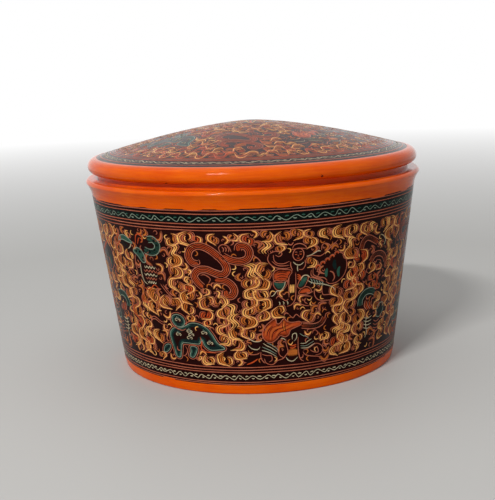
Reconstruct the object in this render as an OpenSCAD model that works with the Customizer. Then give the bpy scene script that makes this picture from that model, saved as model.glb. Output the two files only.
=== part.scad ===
// Round lacquer betel box: a tapered body of coiled bamboo under lacquer,
// a lift-out tray on a ledge inside, and a low domed lid with a spigot.
// Origin at the centre of the foot, +Z up, millimetres.

/* [Body] */
// Outside diameter of the foot where it stands
foot_d = 108; // [96:1:116]
// Outside diameter of the lip
lip_d = 130; // [114:1:150]
// How far the lip stands out past the wall under the rim hoop
lip_out = 2; // [1:0.1:4]
// Height of the lip above the table
body_h = 74.2; // [62:0.1:110]
// Height of the foot hoop
foot_h = 3.6; // [3.2:0.1:8]
// Height of the rim hoop
rim_h = 6.2; // [4:0.1:12]
// Rounding of the lip's outer edge
lip_round = 1.4; // [0.6:0.1:2]
// Rounding of the edges that a hand or the table meets
edge_round = 0.6; // [0.3:0.1:0.8]

/* [Wall layers] */
// Thickness of the engraved lacquer outside
skin_t = 0.8; // [0.4:0.1:1.2]
// Thickness of the coiled bamboo
core_t = 2.2; // [1.6:0.1:3]
// Thickness of the lacquer inside
lining_t = 0.6; // [0.3:0.1:1]
// Number of bamboo courses in the wall
courses = 12; // [6:1:16]
// Depth of the open joint between two bamboo courses
course_joint = 0.3; // [0.1:0.05:0.5]

/* [Base] */
// Thickness of the coiled base disc
base_t = 2.4; // [1.6:0.1:3]
// Width of the step in the foot hoop that carries the base disc
base_seat = 1.6; // [1:0.1:2.4]
// Distance between two turns of the base coil
base_pitch = 4.5; // [3:0.5:8]

/* [Tray] */
// Height of the tray from its underside to its rim
tray_h = 20; // [12:1:26]
// Thickness of the tray's wall
tray_t = 2; // [1.2:0.1:3]
// Thickness of the tray's floor
tray_floor_t = 2; // [1.2:0.1:3]
// Thickness of the tray's rim hoop
tray_rim_t = 2; // [1.6:0.1:3]
// Clearance round the tray
tray_clear = 0.8; // [0.4:0.1:1.2]
// Height left between the tray's rim and the lid's spigot
tray_gap = 2.5; // [1:0.5:5]
// Height of the ledge hoop under the tray's rim
ledge_h = 3; // [2:0.5:5]
// Width of the ledge that carries the tray's rim
ledge_w = 4; // [3:0.5:6]

/* [Lid] */
// How far the lid ring stands back from the lip
ring_back = 1; // [0:0.1:1.5]
// Width of the lid ring's round face, from the dome to its outside
ring_w = 3.5; // [2.5:0.1:4.5]
// Height of the lid ring
ring_h = 5.8; // [4.8:0.1:8]
// Rise of the dome above the ring
dome_h = 11.8; // [6:0.2:25]
// Height of the ring's widest line above its underside
ring_belly = 2.5; // [1.5:0.1:4]
// Squareness of the lid ring's face, where 2 is an ellipse
ring_power = 2.1; // [2:0.1:4]
// Power of the dome's profile, where 1 is a cone and 2 a paraboloid
dome_power = 1.5; // [1.2:0.02:2.4]
// Height of the neck that shows between the lip and the lid ring
neck_h = 1.9; // [1:0.1:4]
// Width of the neck's shoulder on the lip
shoulder_w = 1.2; // [1:0.1:2.2]
// Depth of the spigot in the mouth
spigot_h = 6; // [4:0.5:10]
// Thickness of the spigot's wall
spigot_t = 2.2; // [1.6:0.1:3]
// Clearance between the spigot and the mouth
spigot_clear = 0.5; // [0.3:0.1:0.8]

/* [Hidden] */
$fn = 128;

orange_lacquer = [0.86, 0.33, 0.05];
black_lacquer = [0.11, 0.05, 0.05];
red_lacquer = [0.62, 0.16, 0.07];
bamboo = [0.79, 0.66, 0.42];

// Steps in a rounded profile, and along the dome's slope
arc_steps = 6;
bulge_steps = 16;
flare_steps = 8;
dome_steps = 20;

// Half axes of a rounded edge
edge = [edge_round, edge_round];

// Body
foot_r = foot_d / 2;
lip_r = lip_d / 2;
wall_top_r = lip_r - lip_out;
rim_z = body_h - rim_h;
wall_t = skin_t + core_t + lining_t;
mouth_r = wall_top_r - wall_t;
foot_in_r = wall_r(foot_h) - wall_t;
base_r = foot_in_r + base_seat;
base_z = foot_h - base_t;
course_h = (rim_z - foot_h) / courses;
flare_top = body_h - lip_round;
flare = lip_r - wall_r(flare_top);

// Tray and its ledge
tray_rim_z = body_h - spigot_h - tray_gap;
ledge_z = tray_rim_z - tray_rim_t;
ledge_in_r = lining_r(ledge_z) - ledge_w;
tray_r = ledge_in_r - tray_clear;
tray_in_r = tray_r - tray_t;
tray_rim_r = min(mouth_r, lining_r(ledge_z)) - tray_clear;
tray_z = tray_rim_z - tray_h;

// Lid
spigot_r = mouth_r - spigot_clear;
spigot_in_r = spigot_r - spigot_t;
spigot_z = body_h - spigot_h;
shoulder_r = mouth_r + shoulder_w;
ring_z = body_h + neck_h;
ring_top = ring_z + ring_h;
ring_r = lip_r - ring_back;
dome_r = ring_r - ring_w;
dome_seat_z = ring_top - skin_t - core_t;

// Outside of the tapered wall, and inside of its lining, at a height
function wall_r(z) = foot_r + (wall_top_r - foot_r) * z / rim_z;
function lining_r(z) = wall_r(z) - wall_t;

// Top of the dome's lacquer at a radius
function dome_z(r) = ring_top + dome_h * (1 - pow(r / dome_r, dome_power));

// A dome curve from the axis out to a radius, lowered by a depth
function dome_curve(r_end, depth) = concat(
    [for (i = [0 : dome_steps])
        let (r = dome_r * i / dome_steps)
            if (r < r_end) [r, dome_z(r) - depth]],
    [[r_end, dome_z(r_end) - depth]]
);

// A list of points in the opposite order
function reversed(points) = [for (i = [len(points) - 1 : -1 : 0]) points[i]];

// Points on a rounded corner: centre, half axes, first and last angle
function rounded(centre, half, from, to, steps) = [
    for (i = [0 : steps])
        let (a = from + (to - from) * i / steps)
            [centre[0] + half[0] * cos(a), centre[1] + half[1] * sin(a)]
];

// Points on the lid ring's round face from its underside to its top
function ring_face() = [
    for (i = [0 : bulge_steps])
        let (a = -90 + 180 * i / bulge_steps,
             half_h = a < 0 ? ring_belly : ring_h - ring_belly)
            [dome_r + ring_w * pow(max(cos(a), 0), 2 / ring_power),
             ring_z + ring_belly + half_h * sign(sin(a)) * pow(abs(sin(a)), 2 / ring_power)]
];

// Outer face of the bamboo courses from the foot up, open at each joint
function course_face() = concat(
    [[wall_r(foot_h) - skin_t, foot_h]],
    [for (i = [1 : courses - 1])
        let (z = foot_h + i * course_h)
            for (k = [-1 : 1])
                [wall_r(z + k * course_joint) - skin_t - (1 - abs(k)) * course_joint,
                 z + k * course_joint]],
    [[wall_top_r - skin_t, rim_z]]
);

// Ring of a given section round the box's axis
module turned(points) {
    rotate_extrude() polygon(points);
}

module foot_hoop() {
    color(orange_lacquer)
        turned(concat(
            [[foot_in_r, 0]],
            rounded([foot_r - edge_round, edge_round], edge, -90, 0, arc_steps),
            [[wall_r(foot_h), foot_h], [base_r, foot_h], [base_r, base_z], [foot_in_r, base_z]]
        ));
}

// The coil's turns show as fine joints on the underside
module base_disc() {
    turns = floor((foot_in_r - base_pitch / 2) / base_pitch);
    color(black_lacquer)
        turned(concat(
            [[0, base_z]],
            [for (i = [1 : turns])
                for (k = [-1 : 1])
                    [i * base_pitch + k * course_joint, base_z + (1 - abs(k)) * course_joint]],
            [[base_r, base_z], [base_r, foot_h], [0, foot_h]]
        ));
}

module wall_core() {
    color(bamboo)
        turned(concat(
            course_face(),
            [[mouth_r + lining_t, rim_z], [foot_in_r + lining_t, foot_h]]
        ));
}

module body_skin() {
    color(black_lacquer)
        turned(concat(
            [[wall_r(foot_h), foot_h], [wall_top_r, rim_z]],
            reversed(course_face())
        ));
}

module body_lining() {
    color(red_lacquer)
        turned([
            [foot_in_r, foot_h], [foot_in_r + lining_t, foot_h],
            [mouth_r + lining_t, rim_z], [mouth_r, rim_z]
        ]);
}

module floor_lining() {
    color(red_lacquer)
        translate([0, 0, foot_h])
            cylinder(h = lining_t, r1 = foot_in_r, r2 = lining_r(foot_h + lining_t));
}

// Inner ledge, bevelled below so that the finger slides past it
module ledge_hoop() {
    bevel = ledge_h / 2;
    bottom_z = ledge_z - ledge_h;
    color(red_lacquer)
        turned([
            [ledge_in_r, ledge_z], [ledge_in_r, ledge_z - bevel],
            [ledge_in_r + bevel, bottom_z], [lining_r(bottom_z), bottom_z],
            [lining_r(ledge_z), ledge_z]
        ]);
}

// Flares from the wall to the lip, with a straight mouth inside
module rim_hoop() {
    color(orange_lacquer)
        turned(concat(
            [[mouth_r, rim_z]],
            [for (i = [0 : flare_steps - 1])
                let (t = i / flare_steps, z = rim_z + t * (flare_top - rim_z))
                    [wall_r(z) + flare * t * t, z]],
            rounded([lip_r - lip_round, flare_top], [lip_round, lip_round], 0, 90, arc_steps),
            [[mouth_r + edge_round, body_h], [mouth_r, body_h - edge_round]]
        ));
}

module tray_floor() {
    color(red_lacquer)
        translate([0, 0, tray_z])
            cylinder(h = tray_floor_t, r = tray_in_r);
}

module tray_wall() {
    color(red_lacquer)
        turned(concat(
            rounded([tray_r - edge_round, tray_z + edge_round], edge, -90, 0, arc_steps),
            [[tray_r, tray_rim_z]],
            rounded([tray_in_r + edge_round, tray_rim_z - edge_round], edge, 90, 180, arc_steps),
            [[tray_in_r, tray_z]]
        ));
}

module tray_rim() {
    half_t = tray_rim_t / 2;
    color(orange_lacquer)
        turned(concat(
            [[tray_r, ledge_z]],
            rounded([tray_rim_r - half_t, ledge_z + half_t], [half_t, half_t], -90, 90, bulge_steps),
            [[tray_r, tray_rim_z]]
        ));
}

// Spigot in the mouth, with a shoulder that rests on the lip
module lid_flange() {
    color(orange_lacquer)
        turned([
            [spigot_in_r, spigot_z], [spigot_r - edge_round, spigot_z],
            [spigot_r, spigot_z + edge_round],
            [spigot_r, body_h], [shoulder_r, body_h], [shoulder_r, ring_z], [spigot_in_r, ring_z]
        ]);
}

// Round-faced hoop with a rebate for the dome's edge
module lid_ring() {
    color(orange_lacquer)
        turned(concat(
            [[spigot_in_r, ring_z]],
            ring_face(),
            [[dome_r, dome_seat_z], [spigot_in_r, dome_seat_z]]
        ));
}

// Dome of coiled bamboo, thickened to a flat foot on the ring's rebate
module lid_core() {
    color(bamboo)
        turned(concat(
            dome_curve(dome_r, skin_t),
            [[dome_r, dome_seat_z], [spigot_in_r, dome_seat_z]],
            reversed(dome_curve(spigot_in_r, skin_t + core_t))
        ));
}

module lid_skin() {
    color(black_lacquer)
        turned(concat(dome_curve(dome_r, 0), reversed(dome_curve(dome_r, skin_t))));
}

module lid_lining() {
    color(red_lacquer)
        turned(concat(
            dome_curve(spigot_in_r, skin_t + core_t),
            reversed(dome_curve(spigot_in_r, wall_t))
        ));
}

foot_hoop();
base_disc();
wall_core();
body_skin();
body_lining();
floor_lining();
ledge_hoop();
rim_hoop();
tray_floor();
tray_wall();
tray_rim();
lid_flange();
lid_ring();
lid_core();
lid_skin();
lid_lining();
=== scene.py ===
import math
import random
from types import SimpleNamespace

import bpy
from mathutils import Matrix, Vector


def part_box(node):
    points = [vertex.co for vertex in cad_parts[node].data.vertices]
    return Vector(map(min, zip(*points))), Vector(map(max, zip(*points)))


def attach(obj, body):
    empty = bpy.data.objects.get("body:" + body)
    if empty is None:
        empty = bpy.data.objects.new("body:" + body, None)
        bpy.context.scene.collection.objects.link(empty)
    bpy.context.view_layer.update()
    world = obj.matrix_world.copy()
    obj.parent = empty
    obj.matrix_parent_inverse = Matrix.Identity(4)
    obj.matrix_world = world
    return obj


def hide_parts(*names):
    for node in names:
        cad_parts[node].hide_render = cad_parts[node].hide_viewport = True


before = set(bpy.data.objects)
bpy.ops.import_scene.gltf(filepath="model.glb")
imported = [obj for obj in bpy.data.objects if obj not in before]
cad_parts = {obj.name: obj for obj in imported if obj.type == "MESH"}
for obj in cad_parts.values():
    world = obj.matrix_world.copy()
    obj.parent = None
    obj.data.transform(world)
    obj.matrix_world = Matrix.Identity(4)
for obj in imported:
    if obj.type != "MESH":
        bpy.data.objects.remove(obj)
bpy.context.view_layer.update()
mm = 0.001


def heightsOf(node):  # lowest and highest point of a node, mm
    low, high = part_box(node)
    return low[2] / mm, high[2] / mm


def radiusOf(node):  # outside radius of a turned node, mm
    low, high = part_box(node)
    return max(high[0], high[1], -low[0], -low[1]) / mm


def paint(red, green, blue):  # screen colour to the linear one that sockets take
    def linear(value):
        share = value / 255
        return share / 12.92 if share <= 0.04045 else ((share + 0.055) / 1.055) ** 2.4
    return (linear(red), linear(green), linear(blue), 1.0)


# camera of the photograph, its pixels counted in the 495 x 500 picture
shot = {
    "picture": (495, 500),
    "aimHeight": 45.0,
    "distance": 388.6,
    "elevation": 10.57,
    "roll": -2.17,
    "focalPixels": 969.6,
    "centrePixel": (255.1, 241.7),
    "sensor": 36.0,
}


def setCamera():
    bpy.ops.object.select_all(action="DESELECT")
    bpy.ops.object.camera_add()
    camera = bpy.context.object
    camera.name = "photoCamera"
    wide, tall = shot["picture"]
    longest = max(wide, tall)
    camera.data.sensor_width = shot["sensor"]
    camera.data.lens = shot["focalPixels"] * shot["sensor"] / longest
    camera.data.shift_x = (wide / 2 - shot["centrePixel"][0]) / longest
    camera.data.shift_y = (shot["centrePixel"][1] - tall / 2) / longest
    camera.data.clip_start = 0.01
    tilt = math.radians(shot["elevation"])
    away = shot["distance"] * mm
    place = Matrix.Translation((0, -away * math.cos(tilt), shot["aimHeight"] * mm + away * math.sin(tilt)))
    turn = Matrix.Rotation(math.pi / 2 - tilt, 4, "X")
    lean = Matrix.Rotation(math.radians(shot["roll"]), 4, "Z")
    camera.matrix_world = place @ turn @ lean
    bpy.context.scene.camera = camera


setCamera()
bpy.context.scene.view_settings.view_transform = "Standard"
print("camera set")


# shader helpers
def addNode(tree, kind, **settings):
    node = tree.nodes.new(kind)
    for key, value in settings.items():
        setattr(node, key, value)
    return node


def plug(tree, socket, value):  # another socket is linked, anything else is set
    if isinstance(value, bpy.types.NodeSocket):
        tree.links.new(value, socket)
    else:
        socket.default_value = value


def feed(tree, node, *inOrder, **byName):
    for socket, value in zip(node.inputs, inOrder):
        plug(tree, socket, value)
    for key, value in byName.items():
        plug(tree, node.inputs[key.replace("_", " ")], value)
    return node


def mathNode(tree, operation, *values):
    return feed(tree, addNode(tree, "ShaderNodeMath", operation=operation), *values).outputs[0]


def mixShader(tree, factor, first, second):
    return feed(tree, addNode(tree, "ShaderNodeMixShader"), factor, first, second).outputs[0]


def mixColor(tree, factor, first, second):
    node = addNode(tree, "ShaderNodeMix", data_type="RGBA")
    for index, value in ((0, factor), (6, first), (7, second)):  # where the node has its colours
        plug(tree, node.inputs[index], value)
    return node.outputs[2]


def mapRange(tree, value, before, after):
    node = addNode(tree, "ShaderNodeMapRange", clamp=True)
    feed(tree, node, Value=value, From_Min=before[0], From_Max=before[1], To_Min=after[0], To_Max=after[1])
    return node.outputs[0]


def objectPlace(tree):
    return addNode(tree, "ShaderNodeTexCoord").outputs["Object"]


def stretched(tree, place, scale):
    return feed(tree, addNode(tree, "ShaderNodeMapping"), Vector=place, Scale=scale).outputs[0]


def noise(tree, place, **look):
    return feed(tree, addNode(tree, "ShaderNodeTexNoise"), Vector=place, **look)


def newGroup(name, inputs, outputs):
    group = bpy.data.node_groups.new(name, "ShaderNodeTree")
    for label, kind, value in inputs:
        socket = group.interface.new_socket(label, in_out="INPUT", socket_type=kind)
        socket.default_value = value
    for label, kind in outputs:
        group.interface.new_socket(label, in_out="OUTPUT", socket_type=kind)
    return group, addNode(group, "NodeGroupInput"), addNode(group, "NodeGroupOutput")


# brushed coats of lacquer: cloudy patches, faint streaks round the box, an uneven skin
coat = {
    "stretch": (1.0, 1.0, 16.0), "cloudShare": 0.6, "streakShare": 0.55, "depth": (0.38, 0.78),
    "smear": (0.35, 0.75), "dull": (0.7, 1.9), "relief": 0.0002, "ragged": (0.002, 0.002, 0.002),
}


def lacquerGroup():
    group, given, out = newGroup(
        "lacquerCoats",
        [
            ("Thin Coat", "NodeSocketColor", (0.5, 0.2, 0.1, 1)),
            ("Thick Coat", "NodeSocketColor", (0.3, 0.1, 0.05, 1)),
            ("Patches", "NodeSocketFloat", 60.0),
            ("Streaks", "NodeSocketFloat", 90.0),
            ("Polish", "NodeSocketFloat", 0.1),
        ],
        [("Color", "NodeSocketColor"), ("Roughness", "NodeSocketFloat"), ("Height", "NodeSocketFloat")],
    )
    place = objectPlace(group)
    cloud = noise(group, place, Scale=given.outputs["Patches"], Detail=5.0, Roughness=0.6)
    flat = stretched(group, place, coat["stretch"])
    streak = noise(group, flat, Scale=given.outputs["Streaks"], Detail=3.0, Roughness=0.55)
    clouded = mathNode(group, "MULTIPLY", cloud.outputs[0], coat["cloudShare"])
    both = mathNode(group, "MULTIPLY_ADD", streak.outputs[0], coat["streakShare"], clouded)
    depth = mapRange(group, both, coat["depth"], (0.0, 1.0))
    tone = mixColor(group, depth, given.outputs["Thin Coat"], given.outputs["Thick Coat"])
    smear = noise(group, place, Scale=38.0, Detail=6.0, Roughness=0.7)
    dull = mapRange(group, smear.outputs[0], coat["smear"], coat["dull"])
    rough = mathNode(group, "MULTIPLY", dull, given.outputs["Polish"])
    feed(group, out, Color=tone, Roughness=rough, Height=both)
    return group


# pin holes and nicks in a lacquer coat
def nickGroup():
    group, given, out = newGroup(
        "coatNicks",
        [
            ("Spacing", "NodeSocketFloat", 120.0),
            ("Size", "NodeSocketFloat", 0.12),
            ("Share", "NodeSocketFloat", 0.2),
        ],
        [("Mask", "NodeSocketFloat")],
    )
    place = objectPlace(group)
    ragged = noise(group, place, Scale=900.0, Detail=2.0)
    shifted = addNode(group, "ShaderNodeVectorMath", operation="MULTIPLY_ADD")
    feed(group, shifted, ragged.outputs["Color"], coat["ragged"], place)
    cells = addNode(group, "ShaderNodeTexVoronoi")
    feed(group, cells, Vector=shifted.outputs[0], Scale=given.outputs["Spacing"])
    chosen = feed(group, addNode(group, "ShaderNodeSeparateColor"), cells.outputs["Color"])
    rare = mathNode(group, "LESS_THAN", chosen.outputs[0], given.outputs["Share"])
    size = mathNode(group, "MULTIPLY", given.outputs["Size"], chosen.outputs[1])
    near = mathNode(group, "LESS_THAN", cells.outputs["Distance"], size)
    feed(group, out, Mask=mathNode(group, "MULTIPLY", rare, near))
    return group


groups = {"coats": lacquerGroup(), "nicks": nickGroup()}


def placeGroup(tree, key, **values):
    return feed(tree, addNode(tree, "ShaderNodeGroup", node_tree=groups[key]), **values)


def startMaterial(name):
    material = bpy.data.materials.new(name)
    material.use_nodes = True
    return material, material.node_tree, material.node_tree.nodes["Principled BSDF"]


def lacquer(name, look):
    material, tree, shader = startMaterial(name)
    coats = placeGroup(tree, "coats", Thin_Coat=look["thin"], Thick_Coat=look["thick"],
                       Patches=look["patches"], Streaks=look["streaks"], Polish=look["polish"])
    nicks = placeGroup(tree, "nicks", Spacing=look["nickSpacing"], Size=look["nickSize"],
                       Share=look["nickShare"])
    tone = mixColor(tree, nicks.outputs["Mask"], coats.outputs["Color"], look["under"])
    relief = mathNode(tree, "SUBTRACT", coats.outputs["Height"], nicks.outputs["Mask"])
    bump = addNode(tree, "ShaderNodeBump")
    feed(tree, bump, Strength=look["bump"], Distance=coat["relief"], Height=relief)
    feed(tree, shader, Base_Color=tone, Roughness=coats.outputs["Roughness"], Normal=bump.outputs[0],
         Specular_IOR_Level=look["specular"])
    return material


def pigment(name, look, gloss):  # colour rubbed into engraved lines, level with the lacquer
    material, tree, shader = startMaterial(name)
    coats = placeGroup(tree, "coats", Thin_Coat=look["thin"], Thick_Coat=look["thick"],
                       Patches=300.0, Streaks=40.0, Polish=0.16)
    feed(tree, shader, Base_Color=coats.outputs["Color"], Roughness=coats.outputs["Roughness"],
         Specular_IOR_Level=gloss)
    return material


lacquers = {
    "orangeLacquer": {
        "thin": paint(226, 97, 2), "thick": paint(209, 70, 0), "under": paint(96, 22, 8),
        "patches": 70.0, "streaks": 110.0, "polish": 0.08,
        "nickSpacing": 210.0, "nickSize": 0.15, "nickShare": 0.07, "bump": 0.12, "specular": 0.085,
    },
    "redLacquer": {
        "thin": paint(190, 62, 22), "thick": paint(150, 36, 14), "under": paint(60, 14, 8),
        "patches": 60.0, "streaks": 120.0, "polish": 0.16,
        "nickSpacing": 180.0, "nickSize": 0.25, "nickShare": 0.05, "bump": 0.15, "specular": 0.3,
    },
    "groundLacquer": {
        "thin": paint(38, 8, 6), "thick": paint(23, 5, 4), "under": paint(70, 20, 14),
        "patches": 120.0, "streaks": 160.0, "polish": 0.13,
        "nickSpacing": 260.0, "nickSize": 0.2, "nickShare": 0.06, "bump": 0.08, "specular": 0.04,
    },
    "domeLacquer": {
        "thin": paint(56, 16, 10), "thick": paint(34, 9, 6), "under": paint(70, 20, 14),
        "patches": 120.0, "streaks": 160.0, "polish": 0.16,
        "nickSpacing": 260.0, "nickSize": 0.2, "nickShare": 0.06, "bump": 0.08, "specular": 0.08,
    },
    "baseLacquer": {
        "thin": paint(52, 24, 20), "thick": paint(24, 13, 12), "under": paint(110, 70, 40),
        "patches": 90.0, "streaks": 60.0, "polish": 0.3,
        "nickSpacing": 150.0, "nickSize": 0.35, "nickShare": 0.12, "bump": 0.3, "specular": 0.3,
    },
}
pigments = {
    "yellow": {"thin": paint(250, 194, 112), "thick": paint(220, 150, 76)},
    "amber": {"thin": paint(208, 120, 50), "thick": paint(158, 78, 30)},
    "rust": {"thin": paint(70, 19, 11), "thick": paint(48, 11, 7)},
    "rose": {"thin": paint(192, 112, 84), "thick": paint(154, 76, 54)},
    "red": {"thin": paint(204, 86, 40), "thick": paint(160, 54, 22)},
    "green": {"thin": paint(56, 98, 80), "thick": paint(30, 62, 53)},
    "deepGreen": {"thin": paint(22, 40, 38), "thick": paint(10, 22, 22)},
    "paleGreen": {"thin": paint(142, 156, 136), "thick": paint(96, 114, 98)},
    "cream": {"thin": paint(214, 196, 158), "thick": paint(164, 152, 122)},
    "band": {"thin": paint(13, 18, 15), "thick": paint(7, 11, 9)},
}
glosses = {"body": 0.04, "lid": 0.08}  # the dome's polish is higher than the wall's


def capital(name):
    return name[0].upper() + name[1:]


finishes = {name: lacquer(name, look) for name, look in lacquers.items()}
for name, look in pigments.items():
    for body, gloss in glosses.items():
        finishes[body + name] = pigment(body + capital(name) + "Pigment", look, gloss)


# bare bamboo of the cores
bamboo = {
    "light": paint(212, 178, 118), "dark": paint(168, 128, 74), "stretch": (1.0, 1.0, 30.0),
    "fibre": (0.3, 0.7), "roughness": (0.45, 0.65),
}


def bambooMaterial():
    material, tree, shader = startMaterial("bareBamboo")
    strips = stretched(tree, objectPlace(tree), bamboo["stretch"])
    fibre = noise(tree, strips, Scale=80.0, Detail=6.0).outputs[0]
    rough = mapRange(tree, fibre, bamboo["fibre"], bamboo["roughness"])
    feed(tree, shader, Base_Color=mixColor(tree, fibre, bamboo["light"], bamboo["dark"]), Roughness=rough)
    return material


finishes["bareBamboo"] = bambooMaterial()
for node in ("wall_core", "lid_core"):
    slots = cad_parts[node].data.materials
    slots.clear()
    slots.append(finishes["bareBamboo"])
print("materials made", len(finishes))


# turned pieces: one vertex is drawn along the section, then the section is spun
turning = {"steps": 192, "merge": 0.002, "crease": 32}
fineSteps = 256  # for the engraved skins


def turnPiece(name, section, finish, body, node, steps=turning["steps"]):
    bpy.ops.object.select_all(action="DESELECT")
    bpy.ops.mesh.primitive_plane_add(size=mm)
    piece = bpy.context.object
    piece.name = name
    piece.data.name = name
    bpy.ops.object.mode_set(mode="EDIT")
    bpy.ops.mesh.select_all(action="SELECT")
    bpy.ops.mesh.merge(type="CENTER")
    here = (0.0, 0.0)
    for index, point in enumerate(section + section[:1]):
        move = ((point[0] - here[0]) * mm, 0, (point[1] - here[1]) * mm)
        if index == 0:
            bpy.ops.transform.translate(value=move)
        else:
            bpy.ops.mesh.extrude_vertices_move(TRANSFORM_OT_translate={"value": move})
        here = point
    bpy.ops.mesh.select_all(action="SELECT")
    bpy.ops.mesh.spin(steps=steps, angle=2 * math.pi, center=(0, 0, 0), axis=(0, 0, 1))
    bpy.ops.mesh.select_all(action="SELECT")
    bpy.ops.mesh.remove_doubles(threshold=turning["merge"] * mm)
    bpy.ops.mesh.normals_make_consistent(inside=False)
    bpy.ops.object.mode_set(mode="OBJECT")
    bpy.ops.object.shade_smooth_by_angle(angle=math.radians(turning["crease"]))
    piece.data.materials.append(finishes[finish])
    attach(piece, body)
    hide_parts(node)


def rounded(centre, radius, start, end, steps):  # points on a round corner, angles in degrees
    points = []
    for index in range(steps + 1):
        angle = math.radians(start + (end - start) * index / steps)
        points.append((centre[0] + radius * math.cos(angle), centre[1] + radius * math.sin(angle)))
    return points


wall = {"layers": 3.6, "lining": 0.6, "skin": 0.8}
footLow, footTop = heightsOf("foot_hoop")
rimLow, lipTop = heightsOf("rim_hoop")
lipRadius = radiusOf("rim_hoop")
footTopRadius = radiusOf("foot_hoop")
wallTopRadius = radiusOf("body_skin")


def wallRadius(height):
    share = (height - footTop) / (rimLow - footTop)
    return footTopRadius + (wallTopRadius - footTopRadius) * share


def insideRadius(height):
    return wallRadius(height) - wall["layers"]


mouthRadius = wallTopRadius - wall["layers"]
print("wall", round(footTopRadius, 3), round(wallTopRadius, 3), "lip", round(lipRadius, 3), round(lipTop, 2))

# foot hoop, with a soft edge where it meets the wall and the table
foot = {"edge": 0.7, "shoulder": 0.3, "seat": 1.6, "baseThickness": 2.4}
footInside = footTopRadius - wall["layers"]
baseLow = footTop - foot["baseThickness"]
baseRadius = footInside + foot["seat"]
shoulderCentre = (footTopRadius - foot["shoulder"], footTop - foot["shoulder"])
footSection = [(footInside, footLow)]
footSection += rounded((wallRadius(0) - foot["edge"], foot["edge"]), foot["edge"], -90, 0, 6)
footSection += rounded(shoulderCentre, foot["shoulder"], 0, 90, 4)
footSection += [(baseRadius, footTop), (baseRadius, baseLow), (footInside, baseLow)]
turnPiece("footHoop", footSection, "orangeLacquer", "body", "foot_hoop")

# base disc, whose coil shows as fine rings below
base = {"pitch": 4.5, "joint": 0.3}
baseSection = [(0, baseLow)]
for ring in range(1, int((footInside - base["pitch"] / 2) / base["pitch"]) + 1):
    for side in (-1, 0, 1):
        rise = base["joint"] * (1 - abs(side))
        baseSection.append((ring * base["pitch"] + side * base["joint"], baseLow + rise))
baseSection += [(baseRadius, baseLow), (baseRadius, footTop), (0, footTop)]
turnPiece("baseDisc", baseSection, "baseLacquer", "body", "base_disc")

# engraved skin of the wall
skinSection = [(wallRadius(footTop), footTop), (wallRadius(rimLow), rimLow),
               (wallRadius(rimLow) - wall["skin"], rimLow), (wallRadius(footTop) - wall["skin"], footTop)]
turnPiece("wallSkin", skinSection, "groundLacquer", "body", "body_skin", fineSteps)

# rim hoop, which flares to the lip
rim = {"lipRound": 1.4, "flareSteps": 8, "edge": 0.6}
flareTop = lipTop - rim["lipRound"]
flare = lipRadius - wallRadius(flareTop)
rimSection = [(mouthRadius, rimLow)]
for step in range(rim["flareSteps"]):
    share = step / rim["flareSteps"]
    height = rimLow + share * (flareTop - rimLow)
    rimSection.append((wallRadius(height) + flare * share * share, height))
rimSection += rounded((lipRadius - rim["lipRound"], flareTop), rim["lipRound"], 0, 90, 8)
rimSection += rounded((mouthRadius + rim["edge"], lipTop - rim["edge"]), rim["edge"], 90, 180, 5)
turnPiece("rimHoop", rimSection, "orangeLacquer", "body", "rim_hoop")

# inside of the body
liningSection = [(footInside, footTop), (footInside + wall["lining"], footTop),
                 (mouthRadius + wall["lining"], rimLow), (mouthRadius, rimLow)]
turnPiece("wallLining", liningSection, "redLacquer", "body", "body_lining")
floorTop = heightsOf("floor_lining")[1]
floorSection = [(0, footTop), (footInside, footTop), (insideRadius(floorTop), floorTop), (0, floorTop)]
turnPiece("floorLining", floorSection, "redLacquer", "body", "floor_lining")
ledge = {"width": 4.0, "bevel": 1.5}
ledgeLow, ledgeTop = heightsOf("ledge_hoop")
ledgeInside = insideRadius(ledgeTop) - ledge["width"]
ledgeSection = [(ledgeInside, ledgeTop), (ledgeInside, ledgeTop - ledge["bevel"]),
                (ledgeInside + ledge["bevel"], ledgeLow), (insideRadius(ledgeLow), ledgeLow),
                (insideRadius(ledgeTop), ledgeTop)]
turnPiece("ledgeHoop", ledgeSection, "redLacquer", "body", "ledge_hoop")

# lift-out tray
tray = {"wall": 2.0, "edge": 0.6}
trayLow, trayTop = heightsOf("tray_wall")
trayRadius = radiusOf("tray_wall")
trayInside = trayRadius - tray["wall"]
traySection = rounded((trayRadius - tray["edge"], trayLow + tray["edge"]), tray["edge"], -90, 0, 5)
traySection += [(trayRadius, trayTop)]
traySection += rounded((trayInside + tray["edge"], trayTop - tray["edge"]), tray["edge"], 90, 180, 5)
traySection += [(trayInside, trayLow)]
turnPiece("trayWall", traySection, "redLacquer", "tray", "tray_wall")
trayFloorTop = heightsOf("tray_floor")[1]
trayFloorSection = [(0, trayLow), (trayInside, trayLow), (trayInside, trayFloorTop), (0, trayFloorTop)]
turnPiece("trayFloor", trayFloorSection, "redLacquer", "tray", "tray_floor")
trayRimLow, trayRimTop = heightsOf("tray_rim")
halfRim = (trayRimTop - trayRimLow) / 2
trayRimSection = [(trayRadius, trayRimLow)]
trayRimSection += rounded((radiusOf("tray_rim") - halfRim, trayRimLow + halfRim), halfRim, -90, 90, 12)
trayRimSection += [(trayRadius, trayRimTop)]
turnPiece("trayRim", trayRimSection, "orangeLacquer", "tray", "tray_rim")

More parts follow.
